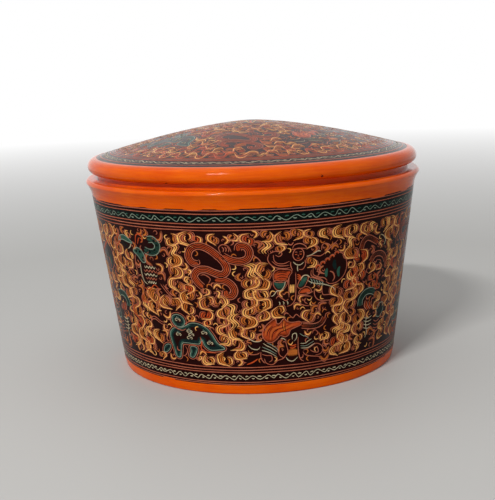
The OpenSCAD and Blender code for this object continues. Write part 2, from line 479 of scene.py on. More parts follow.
# lid: neck and spigot, ring, dome skin and lining
lid = {"spigotBack": 1.7, "spigotWall": 2.2, "edge": 0.6, "ringBelly": 2.5, "ringPower": 2.1,
       "domePower": 1.5, "core": 2.2, "flush": 0.05, "domeSteps": 40}
spigotLow, ringLow = heightsOf("lid_flange")
ringTop = heightsOf("lid_ring")[1]
shoulder = radiusOf("lid_flange")
spigotRadius = shoulder - lid["spigotBack"]
spigotInside = spigotRadius - lid["spigotWall"]
flangeSection = [(spigotInside, spigotLow), (spigotRadius - lid["edge"], spigotLow),
                 (spigotRadius, spigotLow + lid["edge"]), (spigotRadius, lipTop), (shoulder, lipTop),
                 (shoulder, ringLow), (spigotInside, ringLow)]
turnPiece("lidNeck", flangeSection, "orangeLacquer", "lid", "lid_flange")

ringRadius = radiusOf("lid_ring")
domeRadius = radiusOf("lid_skin")
apex = heightsOf("lid_skin")[1]
domeSeat = ringTop - wall["skin"] - lid["core"]


def ringFace(steps=24):  # superellipse from the ring's underside to its top, widest at the belly
    points = []
    power = 2 / lid["ringPower"]
    for index in range(steps + 1):
        angle = math.radians(-90 + 180 * index / steps)
        out = max(math.cos(angle), 0) ** power
        half = lid["ringBelly"] if angle < 0 else ringTop - ringLow - lid["ringBelly"]
        rise = math.copysign(abs(math.sin(angle)) ** power, math.sin(angle))
        height = ringLow + lid["ringBelly"] + half * rise
        points.append((domeRadius + (ringRadius - domeRadius) * out, height))
    return points


ringSection = [(spigotInside, ringLow)] + ringFace() + [(domeRadius, domeSeat), (spigotInside, domeSeat)]
turnPiece("lidRing", ringSection, "orangeLacquer", "lid", "lid_ring")


def domeHeight(radius):
    return ringTop + (apex - ringTop) * (1 - (radius / domeRadius) ** lid["domePower"]) - lid["flush"]


def domeCurve(endRadius, depth):
    steps = lid["domeSteps"]
    radii = [endRadius * index / steps for index in range(steps + 1)]
    return [(radius, domeHeight(radius) - depth) for radius in radii]


domeSection = domeCurve(domeRadius, 0) + domeCurve(domeRadius, wall["skin"])[::-1]
turnPiece("domeSkin", domeSection, "domeLacquer", "lid", "lid_skin", fineSteps)
coreDepth = wall["skin"] + lid["core"]
liningDepth = coreDepth + wall["lining"]
hollowSection = domeCurve(spigotInside, coreDepth) + domeCurve(spigotInside, liningDepth)[::-1]
turnPiece("domeLining", hollowSection, "redLacquer", "lid", "lid_lining")
print("turned pieces made")


# engraving: each line is a closed V cut filled with colour, drawn flat in mm and wrapped on its surface
engraving = {
    "depth": 0.12, "tipDrop": 0.01, "middle": 36.0, "square": 0.6, "hair": 0.3,
    "lineLift": 0.03, "fillLift": 0.016, "amberLift": 0.012, "rustLift": 0.006, "layer": 0.0004,
    "fine": {"body": 1.0, "lid": 0.74},
}
middleRadius = wallRadius(engraving["middle"])
wallLength = 2 * math.pi * middleRadius


def onWall(across, height, lift):  # across runs to the right from the front
    angle = across / middleRadius
    radius = (wallRadius(height) + lift) * mm
    return (radius * math.sin(angle), -radius * math.cos(angle), height * mm)


def onDome(x, y, lift):
    return (x * mm, y * mm, (domeHeight(math.hypot(x, y)) + lift) * mm)


places = {"body": onWall, "lid": onDome}
cuts = {}  # vertices and faces of all cuts of one colour on one part
# each colour has a height of its own, so that two that cross never lie in one plane
layers = {name: engraving["layer"] * index for index, name in enumerate([*pigments, "orangeLacquer"])}
taken = {"body": set(), "lid": set()}  # small squares that already carry a cut


def squareOf(body, x, y):
    if body == "body":
        x %= wallLength
    return int(x // engraving["square"]), int(y // engraving["square"])


def crowding(marks, body, x, y, halfWide, halfTall):  # share of an oval that is taken
    step = engraving["square"]
    inside = found = 0
    for column in range(-int(halfWide / step), int(halfWide / step) + 1):
        for row in range(-int(halfTall / step), int(halfTall / step) + 1):
            if (column * step / halfWide) ** 2 + (row * step / halfTall) ** 2 <= 1:
                inside += 1
                found += squareOf(body, x + column * step, y + row * step) in marks
    return found / inside


def partOf(body, x):  # the wall's cuts are two pieces a colour
    if body == "lid":
        return "lid"
    return "front" if math.cos(x / middleRadius) > 0 else "back"


def startCut(body, colour, path):
    taken[body].update(squareOf(body, *point) for point in path)
    return cuts.setdefault((body, partOf(body, path[0][0]), colour), ([], []))


def crossCut(body, x, y, sideX, sideY, lift):  # left, right and bottom of a cut
    place = places[body]
    left, right = place(x - sideX, y + sideY, lift), place(x + sideX, y - sideY, lift)
    return left, right, place(x, y, -engraving["depth"])


def cutLine(body, colour, path, width, lift, taper):
    points, faces = startCut(body, colour, path)
    lift += layers[colour]
    first = len(points)
    last = len(path) - 1
    points.append(places[body](*path[0], lift - engraving["tipDrop"]))
    for index in range(1, last):
        alongX = path[index + 1][0] - path[index - 1][0]
        alongY = path[index + 1][1] - path[index - 1][1]
        half = width / 2 * math.sin(math.pi * index / last) ** taper / (math.hypot(alongX, alongY) or 1)
        points += crossCut(body, *path[index], alongY * half, alongX * half, lift)
    points.append(places[body](*path[last], lift - engraving["tipDrop"]))
    left, right, bottom = first + 1, first + 2, first + 3
    faces += [(first, right, left), (first, bottom, right), (first, left, bottom)]
    for step in range(last - 2):
        faces.append((left, right, right + 3, left + 3))
        faces.append((right, bottom, bottom + 3, right + 3))
        faces.append((bottom, left, left + 3, bottom + 3))
        left, right, bottom = left + 3, right + 3, bottom + 3
    end = bottom + 1
    faces += [(left, right, end), (right, bottom, end), (bottom, left, end)]


def cutLoop(body, colour, path, width, lift):
    points, faces = startCut(body, colour, path)
    lift += layers[colour]
    first = len(points)
    count = len(path)
    for index, (x, y) in enumerate(path):
        after, before = path[(index + 1) % count], path[index - 1]
        alongX, alongY = after[0] - before[0], after[1] - before[1]
        if body == "body" and abs(alongX) > wallLength / 2:  # the loop closes behind
            alongX -= math.copysign(wallLength, alongX)
        half = width / 2 / (math.hypot(alongX, alongY) or 1)
        points += crossCut(body, x, y, alongY * half, alongX * half, lift)
    for index in range(count):
        here, there = first + 3 * index, first + 3 * ((index + 1) % count)
        faces.append((here, here + 1, there + 1, there))
        faces.append((here + 1, here + 2, there + 2, there + 1))
        faces.append((here + 2, here, there, there + 2))


def smoothPath(points, steps=4, closed=False):  # Catmull-Rom curve through hand-set points
    if closed:
        ends = [points[-1]] + list(points) + list(points[:2])
    else:
        ends = [points[0]] + list(points) + [points[-1]]
    path = []
    for before, start, stop, after in zip(ends, ends[1:], ends[2:], ends[3:]):
        for step in range(steps):
            t = step / steps
            path.append(tuple(
                0.5 * (2 * b + (c - a) * t + (2 * a - 5 * b + 4 * c - d) * t * t
                       + (3 * b - a - 3 * c + d) * t ** 3)
                for a, b, c, d in zip(before, start, stop, after)))
    if not closed:
        path.append(tuple(points[-1]))
    return path


def besidePath(path, gap, closed=False):  # a path that runs beside another
    moved = []
    last = len(path) - 1
    for index, (x, y) in enumerate(path):
        after = path[(index + 1) % len(path)] if closed else path[min(index + 1, last)]
        before = path[index - 1] if closed else path[max(index - 1, 0)]
        alongX, alongY = after[0] - before[0], after[1] - before[1]
        reach = gap / (math.hypot(alongX, alongY) or 1)
        moved.append((x - alongY * reach, y + alongX * reach))
    return moved


hatching = {"gap": 0.42, "width": 0.95, "shortest": 0.25, "step": 2.5, "stagger": 0.003, "taper": 0.2}
ribbons = {
    "taper": 0.18, "edgeGap": 0.36, "edgeWidth": 0.32, "edgeTaper": 0.2,
    "ridges": (-0.5, -0.18, 0.16, 0.5), "ridgeWidth": 0.34, "ridgeTaper": 0.3,
}


def pen(body, centre, turn=0.0, scale=1.0, mirror=1, home=(0.0, 0.0)):  # draws in a frame of its own
    cosine, sine = math.cos(turn), math.sin(turn)

    def move(points):
        moved = []
        for x, y in points:
            x, y = mirror * (x - home[0]) * scale, (y - home[1]) * scale
            moved.append((centre[0] + x * cosine - y * sine, centre[1] + x * sine + y * cosine))
        return moved

    def line(colour, width, points, lift=engraving["lineLift"], taper=0.5, steps=4):
        cutLine(body, colour, move(smoothPath(points, steps)), width * engraving["fine"][body], lift, taper)

    def hairs(colour, *paths, **how):  # thin lines, all of one width
        for points in paths:
            line(colour, engraving["hair"], points, **how)

    def ring(colour, width, points, steps=5):
        cutLoop(body, colour, move(smoothPath(points, steps, True)), width, engraving["lineLift"])

    def shade(colour, width, points, gap, steps=5):  # beside an outline, inside where the gap is positive
        path = smoothPath(points, steps, True)
        area = sum(a[0] * b[1] - b[0] * a[1] for a, b in zip(path, path[1:] + path[:1]))
        path = besidePath(path, gap if area > 0 else -gap, True)
        cutLoop(body, colour, move(path), width, engraving["amberLift"])

    def fill(colour, points):  # close hatching
        outline = move(smoothPath(points, closed=True))
        gap = hatching["gap"]
        low, high = min(x for x, y in outline), max(x for x, y in outline)
        for column in range(int((high - low) / gap)):
            x = low + (column + 0.5) * gap
            crossings = []
            for (startX, startY), (stopX, stopY) in zip(outline, outline[1:] + outline[:1]):
                if (startX > x) != (stopX > x):
                    crossings.append(startY + (stopY - startY) * (x - startX) / (stopX - startX))
            crossings.sort()
            lift = engraving["fillLift"] + hatching["stagger"] * (column % 2)
            for bottom, top in zip(crossings[::2], crossings[1::2]):
                if top - bottom < hatching["shortest"]:
                    continue
                count = max(4, int((top - bottom) / hatching["step"]) + 3)
                hatch = [(x, bottom + (top - bottom) * step / count) for step in range(count + 1)]
                cutLine(body, colour, hatch, gap * hatching["width"], lift, hatching["taper"])

    def ribbon(colour, width, points, edge="rose", steps=5):  # a ridged band between two lines
        path = smoothPath(points, steps)
        high = engraving["lineLift"]
        cutLine(body, colour, move(path), width, engraving["fillLift"], ribbons["taper"])
        for side in (-1, 1):
            beside = besidePath(path, side * (0.5 * width + ribbons["edgeGap"]))
            cutLine(body, edge, move(beside), ribbons["edgeWidth"], high, ribbons["edgeTaper"])
        for share in ribbons["ridges"]:
            beside = besidePath(path, share * width)
            cutLine(body, "band", move(beside), ribbons["ridgeWidth"], high, ribbons["ridgeTaper"])

    def clear(*rounds):  # x, y and radius of what stays bare
        step = engraving["square"]
        for x, y, radius in rounds:
            reach = int(radius / step) + 1
            for column in range(-reach, reach + 1):
                for row in range(-reach, reach + 1):
                    if math.hypot(column, row) * step <= radius:
                        spot = move([(x + column * step, y + row * step)])[0]
                        taken[body].add(squareOf(body, *spot))

    return SimpleNamespace(line=line, hairs=hairs, ring=ring, shade=shade, fill=fill, ribbon=ribbon,
                           clear=clear)


# scroll cell: nested crescents on a wide and a narrow side, in half of the cells with a small hook
scroll = {
    "lean": (-1.1, 0.2), "bulge": (0.74, 0.92), "wide": (3.5, 4.3), "narrow": (1.9, 2.7),
    "rise": (0.5, 1.3), "tail": (0.8, 1.8), "tailLoss": 0.7, "least": 0.5, "hookShare": 0.5,
    "pitch": 0.9, "outline": 0.6, "shadeGap": 0.26,
    "wideLines": (0.52, 0.37), "narrowLines": (0.44, 0.33), "outlineWidth": 0.24, "shadeWidth": 0.2,
    "hookWidth": 0.26, "taper": 1.2, "warmRed": 0.1,
}


def crescent(reach, half, lean=0.0, bulge=0.7, tail=0.0, rise=0.0):  # with a tail that swings back below
    path = [(lean, half), (bulge * reach + lean * 0.4, 0.6 * half), (reach, 0.0),
            (bulge * reach + lean * 0.4, -0.6 * half), (lean, -half)]
    if tail:
        path.append((lean - tail, -half - 0.6 * tail))
    return [(x, y + rise) for x, y in path]


def hook(x, y, size, start, sweep):
    path = []
    for step in range(6):
        angle = math.radians(start + sweep * step / 5)
        reach = size * (1.0 - 0.1 * step)
        path.append((x + reach * math.cos(angle), y + reach * math.sin(angle)))
    return path


def scrollCell(body, centre, turn, scale, side, dice, redShare):
    draw = pen(body, centre, turn, scale, side)
    bright = "red" if dice.random() < redShare else "yellow"
    warm = "red" if dice.random() < redShare + scroll["warmRed"] else "amber"
    tones = (bright, warm, "rose", warm)
    low, lowest = engraving["amberLift"], engraving["rustLift"]
    lean, bulge, wide, narrow = [dice.uniform(*scroll[key]) for key in ("lean", "bulge", "wide", "narrow")]
    rise = dice.choice((-1, 1)) * dice.uniform(*scroll["rise"])  # the narrow side lies higher or lower
    tail = dice.uniform(*scroll["tail"])
    # lines lie as far apart in small cells as in large ones
    pitch, outline, gap = [scroll[key] / scale for key in ("pitch", "outline", "shadeGap")]
    draw.line("rust", 2.4 * scale, crescent(wide - 1.1, 2.7, lean + 0.4, bulge), lowest, 0.5, 2)
    draw.line("rust", 1.8 * scale, crescent(0.6 - narrow, 1.9, -0.2, bulge, 0, rise), lowest, 0.5, 2)
    for path in (crescent(wide + outline, 3.2, lean + 0.4, bulge, tail),
                 crescent(-narrow - outline, 2.4, -0.5, bulge, 0, rise)):
        draw.line("rose", scroll["outlineWidth"], path, taper=0.4, steps=2)
    half, colour = 3.1, bright
    width, nextWidth = scroll["wideLines"]
    while wide > scroll["least"]:
        shadow = crescent(wide - gap, half * 0.92, lean + 0.1, bulge)
        draw.line(warm, scroll["shadeWidth"], shadow, low, 0.7, 2)
        draw.line(colour, width, crescent(wide, half, lean, bulge, tail), taper=scroll["taper"], steps=2)
        wide, half, lean, width = wide - pitch, half - 0.65 * pitch, lean + 0.35 * pitch, nextWidth
        tail = max(0.0, tail - scroll["tailLoss"])
        colour = dice.choice(tones)
    half = 2.0
    width, nextWidth = scroll["narrowLines"]
    while narrow > scroll["least"]:
        shadow = crescent(gap - narrow, half * 0.9, -0.1, bulge, 0, rise)
        draw.line(warm, scroll["shadeWidth"], shadow, low, 0.7, 2)
        path = crescent(-narrow, half, -0.2, bulge, 0, rise)
        draw.line(dice.choice(tones), width, path, taper=scroll["taper"], steps=2)
        narrow, half, width = narrow - pitch, half - 0.6 * pitch, nextWidth
    if dice.random() < scroll["hookShare"]:
        draw.line("rose", scroll["hookWidth"], hook(-0.1, -rise, 0.5, 150, -300), steps=2)


# flame cell: tongues that run side by side
flame = {"bend": (0.9, 1.6), "pitch": 0.96, "across": 4.8, "shadeGap": 0.28, "broad": 0.48, "thin": 0.26}


def flameCell(body, centre, turn, scale, side, dice, redShare):
    draw = pen(body, centre, turn, scale, side)
    bend = dice.uniform(*flame["bend"])
    pitch = flame["pitch"] / scale
    count = int(flame["across"] / pitch) + 1
    for step in range(count):
        shift = pitch * (step - 0.5 * (count - 1))
        tongue = [(shift + 1.3, 3.1), (shift - 0.3 * bend, 2.2), (shift - bend, 0.9), (shift + 0.1, -0.4),
                  (shift + bend, -1.7), (shift + 0.1, -3.1)]
        shadow = [(x + flame["shadeGap"] / scale, y) for x, y in tongue]
        bright = "rose" if step in (0, count - 1) or dice.random() < redShare else "yellow"
        width = flame["broad"] if bright == "yellow" else flame["thin"]
        draw.line("amber" if step % 2 else "rust", flame["thin"], shadow, engraving["amberLift"], 0.7, 2)
        draw.line(bright, width, tongue, taper=1.0, steps=2)
    for x, y, start in ((2.5, 1.3, 200), (-2.5, -1.5, 20)):
        draw.line("rose", flame["thin"], hook(x, y, 0.7, start, -270), steps=2)


# small curl: one crescent where there is little room, else three with a hook
curl = {"single": 0.7, "singleWidth": 0.36, "broad": 0.4, "shade": 0.34, "thin": 0.26}


def smallCurl(body, centre, turn, scale, side, dice):
    draw = pen(body, centre, turn, scale, side)
    bright = dice.choice(("yellow", "amber", "rose"))
    draw.line("rust", 1.2 * scale, crescent(0.9, 1.4, -0.4), engraving["rustLift"], 0.6, 2)
    if scale < curl["single"]:
        draw.line(bright, curl["singleWidth"], crescent(1.0, 1.5, -0.5), taper=0.7, steps=2)
        return
    draw.line(bright, curl["broad"], crescent(1.3, 1.6, -0.5), taper=0.7, steps=2)
    shadow = crescent(1.3 - curl["shade"] / scale, 1.3, -0.4)
    draw.line("amber", curl["shade"], shadow, engraving["amberLift"], 0.6, 2)
    for path in (crescent(1.3 + 0.7 / scale, 1.8, -0.5), hook(-0.5, 0.0, 0.6, 120, 270)):
        draw.line("rose", curl["thin"], path, steps=2)


# figures among the scrolls, drawn as they lie on the front of the wall
def serpent(draw):
    coils = [
        [(-19.6, 48.6), (-21.8, 49.2), (-22.9, 51.4), (-21.8, 54.0), (-19.0, 55.2), (-15.8, 54.2),
         (-13.2, 52.2), (-12.2, 51.0)],
        [(-12.4, 51.6), (-10.3, 48.8), (-9.9, 46.4), (-11.6, 44.9), (-14.2, 45.6), (-17.0, 46.7),
         (-19.8, 46.4), (-21.5, 44.4), (-20.6, 42.2), (-18.6, 40.2)],
        [(-11.0, 51.7), (-8.4, 50.2), (-5.4, 49.6), (-2.8, 50.5), (-2.0, 52.8), (-3.2, 54.9), (-5.3, 55.0),
         (-5.7, 53.4)],
        [(-14.2, 42.8), (-11.2, 42.9), (-8.7, 41.4), (-7.7, 39.0), (-8.8, 37.2), (-10.6, 37.6),
         (-10.4, 39.2)],
    ]
    for coil in coils:
        draw.ribbon("red", 1.7, coil)
    for shift in (0.0, 0.9, 1.8):
        draw.hairs("rose", [(-11.0 + shift, 54.9), (-10.4 + shift, 54.1), (-10.7 + shift, 53.0)])
    draw.hairs("rose", [(-11.4, 52.5), (-12.0, 54.6), (-10.6, 55.7), (-8.6, 54.8), (-7.9, 52.8)],
                       [(-1.2, 52.0), (0.8, 50.4), (2.0, 48.4), (1.6, 47.2)],
                       [(-19.2, 44.6), (-17.6, 44.8), (-15.8, 43.4), (-16.6, 41.6)],
                       [(-19.2, 50.4), (-19.0, 48.8), (-20.6, 48.2), (-22.6, 48.6)])
    draw.clear((-17.4, 51.6, 2.2), (-14.8, 49.6, 2.6), (-17.6, 43.6, 1.2), (-5.2, 52.2, 1.0),
               (0.6, 53.0, 0.8))


def prowler(draw):
    trunk = [(-27.2, 25.4), (-24.8, 26.6), (-21.8, 26.5), (-18.8, 25.0), (-16.8, 22.4), (-15.2, 19.6),
             (-12.6, 17.6), (-15.2, 17.0), (-18.2, 16.9), (-20.2, 18.4), (-21.2, 20.6), (-22.2, 19.0),
             (-24.6, 18.8), (-27.6, 18.9), (-29.6, 18.4), (-30.4, 15.4), (-31.2, 13.1), (-32.8, 13.4),
             (-33.4, 16.0), (-34.2, 19.0), (-34.4, 22.0), (-32.6, 24.0), (-29.8, 24.3)]
    head = [(-32.6, 26.6), (-32.4, 28.6), (-30.2, 29.4), (-27.9, 28.5), (-27.4, 26.4), (-28.8, 25.0),
            (-31.2, 25.0)]
    leg = [(-26.0, 17.6), (-23.6, 17.4), (-24.0, 15.4), (-25.4, 13.6), (-26.8, 14.0), (-26.2, 15.8)]
    paw = [(-38.8, 14.2), (-38.2, 16.2), (-36.4, 17.4), (-35.0, 17.1), (-35.8, 15.6), (-37.2, 14.4)]
    for outline in (trunk, head, leg, paw):
        draw.shade("deepGreen", 1.3, outline, 0.8)
        draw.shade("green", 0.6, outline, 0.35)
        draw.ring("paleGreen", 0.26, outline)
        draw.shade("rose", 0.24, outline, -0.7)
    draw.clear((-30.5, 21.0, 3.0), (-25.5, 22.5, 3.0), (-20.0, 22.5, 2.6), (-17.0, 19.4, 1.8),
               (-14.4, 18.2, 1.7), (-30.2, 27.2, 1.8))
    for x, y in ((-30.6, 21.8), (-25.8, 23.4), (-26.0, 20.9), (-19.9, 23.2), (-18.0, 19.4), (-30.2, 27.4),
                 (-25.2, 22.2)):
        draw.line("cream", 0.28, hook(x - 0.6, y, 0.6, 30, 330), steps=2)
        draw.line("cream", 0.28, hook(x + 0.6, y - 0.1, 0.55, 200, -330), steps=2)
        draw.line("paleGreen", 0.26, hook(x, y + 0.9, 0.45, 90, 330), steps=2)
    draw.hairs("rose", [(-27.0, 24.4), (-28.6, 23.6), (-30.6, 23.9), (-32.8, 25.2),
                        (-33.8, 27.0)], lift=0.034)
    draw.line("red", 0.45, [(-21.7, 21.8), (-21.4, 19.4), (-21.8, 17.4), (-20.4, 16.1), (-15.6, 15.8)])
    for shift in (0.0, 0.9):
        draw.hairs("rose", [(-35.2, 24.8 + shift), (-38.0, 25.0 + shift), (-40.8, 26.4 + shift),
                            (-42.8, 25.8 + shift), (-43.2, 24.0), (-42.2, 22.8)])
    draw.hairs("rose", [(-28.4, 17.6), (-27.6, 16.0), (-28.6, 14.2), (-30.0, 13.6)])
    draw.clear((-41.5, 24.4, 1.2), (-41.0, 17.0, 1.6))


def sprig(draw):
    leftLeaf = [(-55.0, 54.4), (-53.8, 56.2), (-51.0, 56.7), (-48.4, 55.6), (-46.8, 54.2), (-49.4, 54.4),
                (-52.4, 55.0)]
    middle = [(-46.8, 51.4), (-44.8, 52.8), (-42.6, 52.0), (-41.4, 50.0), (-41.2, 48.0), (-42.8, 47.6),
              (-44.8, 49.8)]
    for outline in (leftLeaf, middle):
        draw.fill("green", outline)
        draw.ring("paleGreen", 0.34, outline)
    draw.ribbon("green", 1.5, edge="paleGreen", points=[
        (-38.8, 56.2), (-36.4, 56.5), (-34.7, 54.6), (-35.7, 52.3), (-38.4, 51.7), (-41.0, 52.4)])
    dots = [(-36.0, 55.9), (-35.0, 54.4), (-36.2, 52.6), (-38.4, 51.8), (-45.2, 51.4), (-43.4, 51.2),
            (-42.2, 49.2)]
    for x, y in dots:
        draw.line("band", 0.9, [(x - 0.5, y), (x, y + 0.1), (x + 0.5, y)], lift=0.04, steps=2)
    draw.line("band", 0.9, [(-53.4, 54.2), (-51.4, 53.4), (-49.4, 52.8)], lift=0.036)
    draw.line("red", 0.5, [(-45.0, 54.0), (-44.2, 57.2), (-42.2, 58.0), (-41.0, 56.2), (-42.4, 54.8)])
    draw.line("red", 0.4, [(-44.0, 54.0), (-42.8, 56.6), (-43.6, 55.2)])
    draw.hairs("cream", [(-49.6, 51.8), (-48.2, 52.8), (-47.6, 54.0)])
    for step in range(5):
        y = 46.4 - 1.4 * step
        half = 3.4 - 0.5 * abs(step - 1.5)
        scales = [(-39.6 + half * (k / 4 - 1), y - 0.8 * (k % 2)) for k in range(9)]
        draw.hairs("rose" if step % 2 else "cream", scales, taper=0.2, steps=3)
    draw.hairs("cream", [(-44.0, 47.2), (-44.2, 44.0), (-43.6, 40.6), (-41.8, 39.4)], taper=0.3)
    draw.hairs("rose", [(-45.8, 50.4), (-46.8, 47.0), (-46.4, 43.0), (-47.4, 40.4)], taper=0.3)
    for shift in (0.0, 1.1):
        draw.hairs("rose", [(-35.8 + shift, 40.4), (-33.4 + shift, 37.4), (-30.6, 35.0 + shift)])
        draw.hairs("rose", [(-52.6, 43.6 - shift), (-50.4, 45.2 - shift), (-48.4, 43.6 - shift)])
    draw.line("red", 0.4, [(-44.8, 38.8), (-42.6, 37.4), (-40.4, 38.2), (-38.6, 39.6), (-36.8, 38.4)])
    draw.clear((-38.6, 54.4, 1.3), (-34.2, 49.4, 1.2))


def dancer(draw):
    torso = [(6.0, 43.9), (6.4, 45.3), (7.7, 45.9), (9.4, 45.7), (11.6, 45.2), (10.7, 43.6), (10.1, 42.1),
             (8.2, 41.9), (6.4, 42.2)]
    apron = [(6.1, 41.9), (8.2, 41.6), (10.0, 41.8), (9.7, 40.3), (8.6, 39.2), (7.2, 39.1), (6.2, 40.3)]
    ball = [(14.8, 37.2), (15.8, 38.4), (17.3, 38.8), (18.5, 37.9), (18.3, 37.0), (16.2, 36.8)]
    skirt = [(14.4, 39.6), (15.2, 41.8), (16.2, 43.0), (17.4, 42.6), (17.0, 41.0), (15.8, 39.2)]
    for colour, outline in (("red", torso), ("green", apron), ("red", ball), ("green", skirt)):
        draw.fill(colour, outline)
        draw.shade("rose", 0.24, outline, -0.4)
    for step in range(3):
        draw.line("band", 0.26, [(6.6, 44.8 - 0.9 * step), (8.4, 45.2 - 0.9 * step),
                                 (10.4, 44.7 - 0.9 * step)], lift=0.036)
    turns = [math.pi * step / 4 for step in range(8)]
    draw.ring("rose", 0.28, [(14.2 + 1.9 * math.cos(turn), 51.1 + 2.2 * math.sin(turn)) for turn in turns])
    draw.line("red", 0.28, [(13.6, 49.8), (14.2, 49.7), (14.8, 49.8)], steps=2)
    draw.line("rose", 0.22, [(14.3, 51.0), (14.1, 50.5), (14.4, 50.4)], steps=2)
    for x in (13.4, 15.0):
        draw.line("red", 0.26, [(x - 0.45, 51.2), (x, 51.05), (x + 0.45, 51.2)], steps=2)
        draw.line("rose", 0.22, [(x - 0.5, 51.8), (x, 52.0), (x + 0.5, 51.8)], steps=2)
    draw.clear((14.2, 51.1, 2.2))
    roseLines = [
        [(12.2, 53.2), (12.8, 54.5), (14.6, 54.9), (16.4, 54.1), (17.4, 52.6)],
        [(11.6, 52.9), (14.4, 53.2), (17.0, 52.9)],
        [(11.3, 49.0), (9.4, 48.2), (7.2, 48.4), (6.0, 49.6), (5.8, 51.6)],
        [(11.4, 46.6), (9.4, 46.4), (6.6, 46.9), (4.8, 48.2), (3.9, 50.0), (4.4, 52.0)],
        [(11.2, 47.5), (8.6, 47.4), (6.8, 47.9), (5.2, 49.4)],
        [(4.6, 52.0), (6.2, 52.7), (8.2, 52.4), (8.6, 51.5), (7.6, 50.8), (6.4, 51.5)],
        [(11.6, 48.8), (11.6, 47.2), (12.3, 45.4)],
        [(16.4, 49.0), (16.7, 47.2), (15.7, 45.6), (14.2, 45.8)],
        [(11.8, 44.4), (11.0, 43.0), (10.9, 39.6), (11.0, 35.6)],
        [(13.3, 44.8), (13.4, 41.0), (13.4, 37.2), (13.2, 35.0), (12.0, 33.2), (10.2, 32.6)],
        [(6.4, 35.6), (7.2, 36.6), (8.4, 35.8), (9.8, 34.8), (10.9, 35.3)],
        [(13.8, 36.4), (16.2, 36.0), (19.4, 35.4)],
        [(17.2, 37.0), (18.4, 36.8), (19.8, 37.2)],
        [(14.7, 35.4), (14.9, 33.4), (16.6, 32.4), (18.8, 32.0)],
        [(17.2, 35.2), (16.6, 33.8), (17.8, 32.8)],
        [(20.2, 38.4), (20.3, 35.8), (21.6, 34.0), (24.0, 33.3), (27.4, 33.1)],
        [(22.9, 38.4), (23.2, 36.4), (23.8, 35.4), (26.2, 35.2), (28.2, 34.4)],
        [(18.9, 45.2), (18.8, 43.2), (20.2, 42.2), (22.4, 41.4), (23.8, 40.0)],
        [(17.4, 42.6), (19.4, 42.2), (21.6, 41.3), (23.6, 40.3)],
        [(16.9, 50.3), (19.4, 50.2), (22.2, 49.8), (24.6, 51.4), (27.0, 53.4), (28.6, 54.8)],
        [(22.4, 51.6), (22.6, 53.6), (24.2, 54.0), (25.2, 52.4)],
    ]
    draw.hairs("rose", *roseLines, taper=0.3)
    creamLines = [
        [(9.7, 41.8), (9.4, 40.2), (8.2, 38.6), (6.8, 38.5), (5.8, 37.2), (4.8, 36.6)],
        [(12.4, 48.6), (13.4, 47.6), (14.8, 47.3), (16.2, 48.2)],
        [(14.0, 47.2), (13.9, 46.2), (14.1, 45.0)],
        [(15.0, 41.8), (16.0, 43.2), (17.4, 43.3), (18.4, 42.4)],
        [(17.6, 41.4), (19.2, 40.4), (21.4, 39.8), (24.0, 39.2), (27.4, 37.7), (28.4, 36.2)],
        [(17.0, 50.0), (19.0, 50.6), (21.0, 51.6), (22.2, 51.4)],
    ]
    draw.hairs("cream", *creamLines, taper=0.3)
    for step in range(5):
        x = 18.6 + 1.05 * step
        draw.line("paleGreen", 0.36, [(x, 42.0 - 0.35 * step), (x + 0.6, 41.0 - 0.4 * step),
                                      (x + 0.2, 39.9 - 0.3 * step)])
    for step in range(3):
        draw.line("red", 0.4, [(13.8, 43.9 - 0.7 * step), (14.7, 43.5 - 0.7 * step),
                               (15.2, 42.6 - 0.5 * step)])
        draw.line("yellow", 0.5, [(11.5 + 0.6 * step, 40.5), (11.4 + 0.6 * step, 39.0),
                                  (11.5 + 0.6 * step, 37.3)])
        draw.hairs("cream", [(7.4 + 1.4 * step, 34.6), (7.8 + 1.4 * step, 34.0),
                             (7.7 + 1.4 * step, 33.2)], steps=2)
    draw.clear((9.4, 50.6, 1.9), (15.8, 56.0, 0.9), (16.8, 44.6, 1.2), (22.0, 36.4, 1.0), (2.4, 51.4, 1.6),
               (12.6, 31.8, 1.0), (8.0, 44.2, 2.6))


